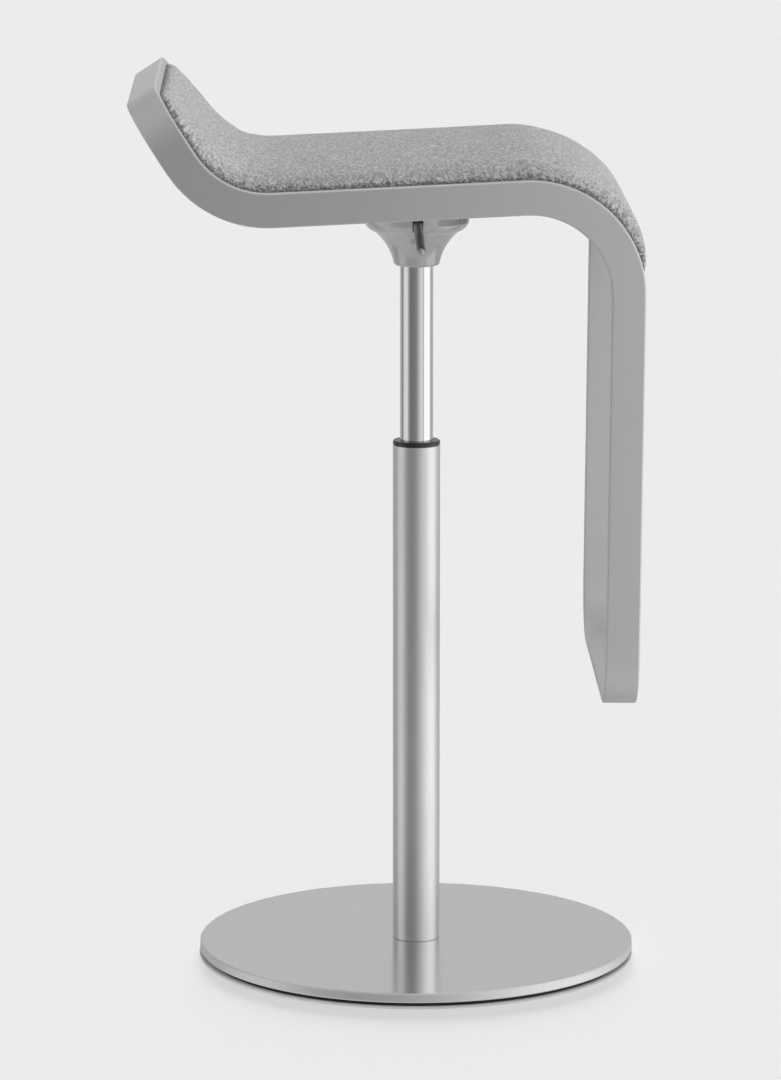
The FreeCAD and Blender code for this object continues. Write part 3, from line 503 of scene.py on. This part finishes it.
class PadForm:
    """Seat pad laid along the strap.

    A point is given by its run ahead of the seat's rear end, its side from the middle, and its level
    out from the strap's middle line.
    """

    def __init__(self, sizes):
        self.sizes = sizes
        self.seat_length = (sizes.seat_front - sizes.seat_rear) / math.cos(sizes.seat_tilt)
        self.rear_turn = sizes.rear_angle + sizes.seat_tilt
        self.bend_start = -self.rear_turn * sizes.rear_radius
        self.rear_end = self.bend_start - sizes.rear_length + sizes.rear_gap
        self.front_end = self.seat_length + sizes.front_wrap * sizes.front_radius
        self.roll_level = sizes.strap_height / 2 - sizes.roll_drop

    def place(self, run, side, level):
        """Point in the frame."""
        sizes = self.sizes
        tilt = sizes.seat_tilt
        rear = Vector((sizes.seat_rear, sizes.seat_level + sizes.seat_rear * math.tan(tilt)))
        if run < 0:
            centre = rear + outward(tilt) * sizes.rear_radius
            turn = min(-run / sizes.rear_radius, self.rear_turn)
            slope = tilt - turn
            spot = centre - outward(slope) * (sizes.rear_radius - level)
            spot -= heading(slope) * (-run - turn * sizes.rear_radius)
        else:
            front = rear + heading(tilt) * min(run, self.seat_length)
            slope = tilt - max(0, run - self.seat_length) / sizes.front_radius
            centre = front - outward(tilt) * sizes.front_radius
            spot = centre + outward(slope) * (sizes.front_radius + level)
        return Vector((spot.x, side, spot.y))

    def from_core(self, run, side):
        """Corner radius at a point, and the step to it from the rectangle inside the rounded corners."""
        middle = (self.rear_end + self.front_end) / 2
        corner = self.sizes.front_corner if run > middle else self.sizes.rear_corner
        ahead = abs(run - middle) - (self.front_end - middle - corner)
        aside = abs(side) - (self.sizes.half_width - corner)
        return corner, ahead, aside

    def inset(self, run, side):
        """Distance in from the pad's outline."""
        corner, ahead, aside = self.from_core(run, side)
        outside = math.hypot(max(ahead, 0), max(aside, 0)) + min(max(ahead, aside), 0)
        return max(0, corner - outside)

    def inward(self, run, side):
        """Direction in from the outline, as steps of run and side."""
        _, ahead, aside = self.from_core(run, side)
        middle = (self.rear_end + self.front_end) / 2
        step = Vector((math.copysign(max(ahead, 0), middle - run), math.copysign(max(aside, 0), -side)))
        return step.normalized()

    def half_width(self, run):
        """Half of the pad's width at a run: it narrows round the corners."""
        corner, ahead, _ = self.from_core(run, 0)
        reach = min(max(ahead, 0), corner)
        return self.sizes.half_width - corner + math.sqrt(corner ** 2 - reach ** 2)

    def most(self, run):
        """Greatest height over the roll's start: the pad thins through its back and at its front end."""
        sizes = self.sizes
        free = sizes.roll + sizes.crown + sizes.ease
        taper_start = self.front_end - sizes.front_taper * sizes.front_radius
        if run < self.bend_start:
            part = (run - self.rear_end) / (self.bend_start - self.rear_end)
            return sizes.rear_rise + part * (sizes.bend_rise - sizes.rear_rise)
        if run < 0:
            return free - (free - sizes.bend_rise) * (run / self.bend_start) ** 2
        past = max(0, run - taper_start) / (self.front_end - taper_start)
        return free - (free - sizes.front_rise) * past ** TAPER_POWER

    def top(self, run, side):
        """Level of the pad's top: it rolls up from the outline to a crown, as far as the ends let it."""
        sizes = self.sizes
        reach = min(self.inset(run, side) + sizes.roll_lead, sizes.roll)
        rise = math.sqrt(sizes.roll ** 2 - (sizes.roll - reach) ** 2)
        bulge = 1 - (side / sizes.half_width) ** 2
        crowned = rise * (1 + bulge * sizes.crown / sizes.roll)
        most = self.most(run)
        overlap = max(0, sizes.ease - abs(crowned - most))
        return self.roll_level + min(crowned, most) - overlap ** 2 / (4 * sizes.ease)

    def rows(self):
        """Runs of the mesh's rows, close together round the corners."""
        sizes = self.sizes
        turns = [math.pi / 2 * index / CORNER_ROWS for index in range(CORNER_ROWS + 1)]
        rear = [self.rear_end + sizes.rear_corner * (1 - math.cos(turn)) for turn in turns]
        front = [self.front_end - sizes.front_corner * (1 - math.cos(turn)) for turn in turns]
        gap = front[-1] - rear[-1]
        count = round(gap / ROW_STEP)
        return rear + [rear[-1] + gap * index / count for index in range(1, count)] + front[::-1]

    def columns(self, run):
        """Sides of the mesh's columns at a run, close together over the rolls."""
        edge = self.half_width(run)
        roll = min(self.sizes.roll, edge)
        steps = [edge - roll * part for part in ROLL_COLUMNS]
        flat = [steps[-1] * (1 - 2 * index / CROWN_COLUMNS) for index in range(1, CROWN_COLUMNS)]
        return steps + flat + [-side for side in reversed(steps)]


def pad_mesh(form):
    """Mesh of the felt: its top, its sides down the shell and the hem folded under it."""
    shape = bmesh.new()
    insets = shape.verts.layers.float.new(EDGE_INSET)
    plan = {}

    def point(run, side, level):
        vertex = shape.verts.new(form.place(run, side, level))
        plan[vertex] = run, side
        return vertex

    grid = []
    for run in form.rows():
        line = [point(run, side, form.top(run, side)) for side in form.columns(run)]
        for vertex in line:
            vertex[insets] = form.inset(*plan[vertex])
        grid.append(line)
    for line, following in zip(grid, grid[1:]):
        for index in range(len(line) - 1):
            shape.faces.new((line[index], line[index + 1], following[index + 1], following[index]))

    sides = [line[-1] for line in grid[1:-1]]
    others = [line[0] for line in grid[-2:0:-1]]
    outline = grid[0] + sides + grid[-1][::-1] + others
    foot = form.sizes.shell_level
    steps = [(step, form.roll_level + part * (foot - form.roll_level)) for step, part in WALL_STEPS]
    steps += [(step, foot - out) for step, out in HEM_STEPS]
    ring = outline
    for step, level in steps:
        below = []
        for vertex in outline:
            run, side = plan[vertex]
            ahead, aside = form.inward(run, side) * step
            below.append(point(run + ahead, side + aside, level))
        for index in range(len(ring)):
            shape.faces.new((ring[index], below[index], below[index - 1], ring[index - 1]))
        ring = below
    bmesh.ops.recalc_face_normals(shape, faces=shape.faces)
    for face in shape.faces:
        face.smooth = True
    return new_mesh("seat_felt", shape)


def swell(pad, sizes):
    """Press the cloth out as foam does, with its sides held, and keep every point within the limit."""
    insets = pad.data.attributes[EDGE_INSET].data
    held = pad.vertex_groups.new(name=HELD)
    held.add([index for index, inset in enumerate(insets) if inset.value < sizes.roll * HELD_PART], 1, "ADD")
    cloth = pad.modifiers.new("Cloth", "CLOTH")
    cloth.settings.vertex_group_mass = HELD
    cloth.settings.use_pressure = True
    cloth.settings.uniform_pressure_force = sizes.swell_pressure
    cloth.settings.effector_weights.gravity = 0
    scene = bpy.context.scene
    for number in range(1, SWELL_FRAMES + 1):
        scene.frame_set(number)
    pressed = pad.evaluated_get(bpy.context.evaluated_depsgraph_get()).data
    moved = [after.co - before.co for before, after in zip(pad.data.vertices, pressed.vertices)]
    pad.modifiers.remove(cloth)
    scene.frame_set(1)
    for vertex, step in zip(pad.data.vertices, moved):
        if step.length > sizes.swell_limit:
            step.length = sizes.swell_limit
        vertex.co += step


# Operators

class STOOL_OT_foot(bpy.types.Operator):
    """Brushed disc on its rubber pad"""
    bl_idname = "stool.foot"
    bl_label = "Foot"

    def execute(self, context):
        finish = context.scene.stool_finish
        disc = brushed_steel("Disc steel", finish.disc_tone, finish.disc_roughness, "X",
                             turned=finish.rim_roughness)
        dress(disc, "base_disc")
        dress(moulded_plastic("Pad rubber", finish.rubber_tone, roughness=0.95), "floor_pad")
        return {"FINISHED"}


class STOOL_OT_column(bpy.types.Operator):
    """Brushed column, its bush and the gas cylinder in it"""
    bl_idname = "stool.column"
    bl_label = "Column"

    def execute(self, context):
        finish = context.scene.stool_finish
        tube = brushed_steel("Column steel", finish.column_tone, finish.column_roughness, "Z")
        dress(tube, "column_tube")
        dress(moulded_plastic("Bush plastic", finish.bush_tone, roughness=0.2), "guide_bush")
        dress(polished_chrome("Cylinder chrome", finish.chrome_tone, finish.chrome_roughness), "gas_cylinder")
        return {"FINISHED"}


class STOOL_OT_works(bpy.types.Operator):
    """Bearing, rod, stops and valve inside the column"""
    bl_idname = "stool.works"
    bl_label = "Inner works"

    def execute(self, context):
        finish = context.scene.stool_finish
        dress(polished_chrome("Rod chrome", finish.chrome_tone, roughness=0.1), "piston_rod", "bearing_balls")
        dress(moulded_plastic("Stop nylon", finish.nylon_tone, roughness=0.45),
              "stop_sleeve", "bearing_cage", "piston")
        dress(moulded_plastic("Seal rubber", finish.rubber_tone, roughness=0.7), "bump_stop", "rod_seal")
        dress(plated_steel("Plated works", finish.zinc_tone), "column_plug", "base_screws",
              "bearing_washer_lower", "bearing_washer_upper", "clip_washer", "rod_guide", "valve_block",
              "release_button")
        dress(powder_coat("Clip black", finish.coat_tone), "rod_clip")
        return {"FINISHED"}


class STOOL_OT_hub(bpy.types.Operator):
    """Lacquered hub with its chrome lever"""
    bl_idname = "stool.hub"
    bl_label = "Hub and lever"

    def execute(self, context):
        finish = context.scene.stool_finish
        dress(cast_lacquer("Hub lacquer", finish.hub_tone), "hub", "lever_pin")
        dress(polished_chrome("Lever chrome", finish.lever_tone, roughness=0.45), "lever")
        return {"FINISHED"}


class STOOL_OT_loop(bpy.types.Operator):
    """Satin strap loop with the bars and plate that carry the seat"""
    bl_idname = "stool.loop"
    bl_label = "Strap loop"

    def execute(self, context):
        finish = context.scene.stool_finish
        strap = satin_steel("Strap satin", finish.strap_tone, finish.strap_roughness)
        dress(strap, "seat_frame", "cross_bar_front", "cross_bar_rear", "seat_plate")
        dress(plated_steel("Seat screws", finish.zinc_tone), "hub_screws", "seat_bolts", "tee_nuts")
        return {"FINISHED"}


class STOOL_OT_shell(bpy.types.Operator):
    """Bent wooden shell under the seat"""
    bl_idname = "stool.shell"
    bl_label = "Seat shell"

    def execute(self, context):
        finish = context.scene.stool_finish
        dress(stained_ply("Shell ply", finish.wood_light, finish.wood_dark), "seat_shell")
        return {"FINISHED"}


class STOOL_OT_pad(bpy.types.Operator):
    """Felt drawn over the foam and folded under the shell"""
    bl_idname = "stool.pad"
    bl_label = "Seat pad"

    def execute(self, context):
        sizes = context.scene.stool_pad
        finish = context.scene.stool_finish
        pad = bpy.data.objects.new("seat_felt", pad_mesh(PadForm(sizes)))
        context.scene.collection.objects.link(pad)
        swell(pad, sizes)
        cloth = pad.modifiers.new("Felt", "SOLIDIFY")
        cloth.thickness = sizes.cloth_thickness
        cloth.offset = -1
        smooth = pad.modifiers.new("Smooth", "SUBSURF")
        smooth.levels = 1
        smooth.render_levels = 1
        felt = wool_felt("Wool felt", finish.felt_dark, finish.felt_mid, finish.felt_light)
        pad.data.materials.append(felt)
        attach(pad, "lift")
        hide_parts("seat_cover", "seat_foam")
        return {"FINISHED"}


# Stage

# Studio as the metal mirrors it: brightness round the stool, by degrees to the right of the camera, at the
# height of the stool and over it.
LOWER_GLOW = [
    (-180, 0.58), (-134, 0.58),  # wall behind the stool
    (-124, 0.3), (-108, 0.3),  # gap
    (-98, 0.88), (-68, 0.88),  # panel on the left
    (-54, 0.3), (-40, 0.21), (-22, 0.22), (0, 0.3),  # dark side, up to the camera
    (8, 0.45), (20, 0.69), (40, 0.95), (48, 1.08),  # growing light
    (56, 1.32), (100, 1.35),  # panel on the right
    (108, 0.55), (124, 0.5),  # gap
    (134, 0.58), (180, 0.58),  # wall behind the stool
]
UPPER_GLOW = [
    (-180, 1.1), (-150, 1.1),  # panel over the wall
    (-130, 0.3), (-110, 0.3),  # gap
    (-92, 0.5), (-40, 0.5), (0, 0.6),  # dim side
    (60, 0.9), (150, 0.6),  # light side
    (180, 1.1),  # panel over the wall
]
# Degrees between the ring's corners, the name of its brightness, and the side of the floor.
RING_STEP = 2
GLOW = "glow"
FLOOR_SIZE = 60
# Soft lights: strength, width in degrees, the way the light goes, and what it lights.
LIGHTS = {
    "right_key": (2.45, 60, (-0.85, -0.1, -0.48), "stool"),
    "back_top": (0.12, 70, (0.1, -0.55, -0.8), "stool"),
    "front_fill": (0.6, 50, (0.1, 0.86, -0.5), "stool"),
    "hub_fill": (1.15, 40, (0.1, 0.7, -0.7), "hub"),
    "floor_top": (0.92, 8, (-0.05, -0.45, -0.89), "floor"),
    "floor_front": (0.93, 8, (-0.05, 0.45, -0.89), "floor"),
    "floor_back": (3.8, 18, (-0.03, -0.98, -0.185), "floor"),
}
# Pieces that shade the floor, and pieces that the hub's own light falls on.
FOOT = ("base_disc", "floor_pad")
HUB = ("hub", "lever_pin", "lever")


def glow_at(table, turn):
    """Brightness at a turn from the camera."""
    for (start, low), (end, high) in zip(table, table[1:]):
        if start <= turn <= end:
            return low + (high - low) * (turn - start) / (end - start)
    raise ValueError(turn)


def glowing(name):
    """Material that shines as brightly as its mesh's glow says."""
    material = bpy.data.materials.new(name)
    material.use_nodes = True
    tree = material.node_tree
    brightness = add(tree, "ShaderNodeAttribute", attribute_name=GLOW).outputs["Fac"]
    light = add(tree, "ShaderNodeEmission", {"Strength": brightness}).outputs["Emission"]
    tree.links.new(light, tree.nodes["Material Output"].inputs["Surface"])
    return material


def reflection_ring(stage):
    """Closed ring round the stool with a floor of its own, seen only in reflections."""
    shape = bmesh.new()
    glow = shape.verts.layers.float.new(GLOW)
    bands = [(LOWER_GLOW, stage.ring_foot, stage.ring_middle),
             (UPPER_GLOW, stage.ring_middle, stage.ring_top)]
    rings = []
    for table, foot, top in bands:
        for level in (foot, top):
            row = []
            for turn in range(-180, 180, RING_STEP):
                aside, ahead = math.sin(math.radians(turn)), math.cos(math.radians(turn))
                vertex = shape.verts.new((stage.ring_radius * aside, -stage.ring_radius * ahead, level))
                vertex[glow] = glow_at(table, turn)
                row.append(vertex)
            rings.append(row)
        low, high = rings[-2:]
        for index in range(len(low)):
            shape.faces.new((low[index - 1], low[index], high[index], high[index - 1]))
    floor = [shape.verts.new(vertex.co) for vertex in rings[0]]
    for vertex in floor:
        vertex[glow] = stage.ring_floor
    shape.faces.new(floor)
    mesh = new_mesh("reflection_ring", shape)
    mesh.materials.append(glowing("Reflection ring"))
    ring = bpy.data.objects.new("reflection_ring", mesh)
    for ray in ("camera", "diffuse", "transmission", "volume_scatter", "shadow"):
        setattr(ring, f"visible_{ray}", False)
    return ring


def pale_floor(colour):
    """Wide pale floor, clear from below."""
    shape = bmesh.new()
    bmesh.ops.create_grid(shape, x_segments=1, y_segments=1, size=FLOOR_SIZE / 2)
    mesh = new_mesh("floor", shape)
    material, tree, _ = new_finish("Floor", colour, roughness=1.0, Specular_IOR_Level=0.0)
    matte = tree.nodes["Principled BSDF"].outputs["BSDF"]
    clear = add(tree, "ShaderNodeBsdfTransparent").outputs["BSDF"]
    below = add(tree, "ShaderNodeNewGeometry").outputs["Backfacing"]
    either = add(tree, "ShaderNodeMixShader", {0: below, 1: matte, 2: clear})
    tree.links.new(either.outputs["Shader"], tree.nodes["Material Output"].inputs["Surface"])
    mesh.materials.append(material)
    floor = bpy.data.objects.new("floor", mesh)
    floor.visible_glossy = False
    return floor


def even_sky(stage):
    """World that lights evenly: brighter in mirrors, and in the floor's own tone to the camera."""
    world = bpy.data.worlds.new("Sky")
    world.use_nodes = True
    tree = world.node_tree
    white = (1, 1, 1, 1)
    path = add(tree, "ShaderNodeLightPath").outputs

    def sky(colour, strength):
        sockets = {"Color": colour, "Strength": strength}
        return add(tree, "ShaderNodeBackground", sockets).outputs["Background"]

    lit = add(tree, "ShaderNodeMixShader", {0: path["Is Glossy Ray"], 1: sky(white, stage.sky_strength),
                                            2: sky(white, stage.mirror_strength)}).outputs["Shader"]
    seen = add(tree, "ShaderNodeMixShader", {0: path["Is Camera Ray"], 1: lit,
                                             2: sky(stage.floor_tone, 1)}).outputs["Shader"]
    tree.links.new(seen, tree.nodes["World Output"].inputs["Surface"])
    return world


def linked(name, things):
    """Collection that lights can be limited to."""
    group = bpy.data.collections.new(name)
    for thing in things:
        group.objects.link(thing)
    return group


def soft_light(name, strength, width, way, receivers, blockers):
    """Broad light on some things only, which metal doesn't mirror."""
    sun = bpy.data.lights.new(name, "SUN")
    sun.energy = strength
    sun.angle = math.radians(width)
    light = bpy.data.objects.new(name, sun)
    light.rotation_euler = Vector(way).to_track_quat("-Z", "Y").to_euler()
    light.light_linking.receiver_collection = receivers
    light.light_linking.blocker_collection = blockers
    light.visible_glossy = False
    return light


def studio_lights(floor):
    """Soft lights on the stool, on its hub alone, and on the floor, which only the foot shades."""
    hub = linked("hub", [NODES[name] for name in HUB])
    foot = linked("foot", [NODES[name] for name in FOOT])
    lit = {"stool": linked("stool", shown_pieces()), "hub": hub, "floor": linked("ground", [floor])}
    shading = {"stool": None, "hub": hub, "floor": foot}
    return [soft_light(name, strength, width, way, lit[target], shading[target])
            for name, (strength, width, way, target) in LIGHTS.items()]


def side_camera(stage):
    """Camera that looks at the stool from its side, a little from above."""
    lens = bpy.data.cameras.new("camera")
    lens.lens = stage.camera_lens
    camera = bpy.data.objects.new("camera", lens)
    camera.location = stage.camera_place
    camera.rotation_euler = (math.pi / 2 - stage.camera_pitch, 0, -stage.camera_turn)
    return camera


class STOOL_OT_stage(bpy.types.Operator):
    """Pale floor, soft studio light and camera"""
    bl_idname = "stool.stage"
    bl_label = "Stage"

    def execute(self, context):
        scene = context.scene
        stage = scene.stool_stage
        floor = pale_floor(stage.floor_tone)
        ring = reflection_ring(stage)
        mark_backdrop(floor, ring)
        camera = side_camera(stage)
        for thing in [floor, ring, *studio_lights(floor), camera]:
            scene.collection.objects.link(thing)
        scene.camera = camera
        scene.world = even_sky(stage)
        scene.view_settings.view_transform = "Standard"
        return {"FINISHED"}


# Add-on

OPERATORS = (STOOL_OT_foot, STOOL_OT_column, STOOL_OT_works, STOOL_OT_hub, STOOL_OT_loop, STOOL_OT_shell,
             STOOL_OT_pad, STOOL_OT_stage)
SETTINGS = {"stool_pad": PadSizes, "stool_finish": FinishSettings, "stool_stage": StageSettings}


class STOOL_PT_sidebar(bpy.types.Panel):
    """Stool tab of the 3D view's sidebar"""
    bl_idname = "STOOL_PT_sidebar"
    bl_label = "Bar Stool"
    bl_space_type = "VIEW_3D"
    bl_region_type = "UI"
    bl_category = "Stool"

    def draw(self, context):
        for operator in OPERATORS:
            self.layout.operator(operator.bl_idname)
        for name, kind in SETTINGS.items():
            box = self.layout.box()
            for setting in kind.__annotations__:
                box.prop(getattr(context.scene, name), setting)


def register():
    """Make the settings, operators and panel known."""
    for kind in (*SETTINGS.values(), *OPERATORS, STOOL_PT_sidebar):
        bpy.utils.register_class(kind)
    for name, kind in SETTINGS.items():
        setattr(bpy.types.Scene, name, PointerProperty(type=kind))


def unregister():
    """Take them away again."""
    for name in SETTINGS:
        delattr(bpy.types.Scene, name)
    for kind in reversed((*SETTINGS.values(), *OPERATORS, STOOL_PT_sidebar)):
        bpy.utils.unregister_class(kind)


def main():
    """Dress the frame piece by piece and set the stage."""
    register()
    for operator in OPERATORS:
        family, name = operator.bl_idname.split(".")
        getattr(getattr(bpy.ops, family), name)()


if __name__ == "__main__":
    main()
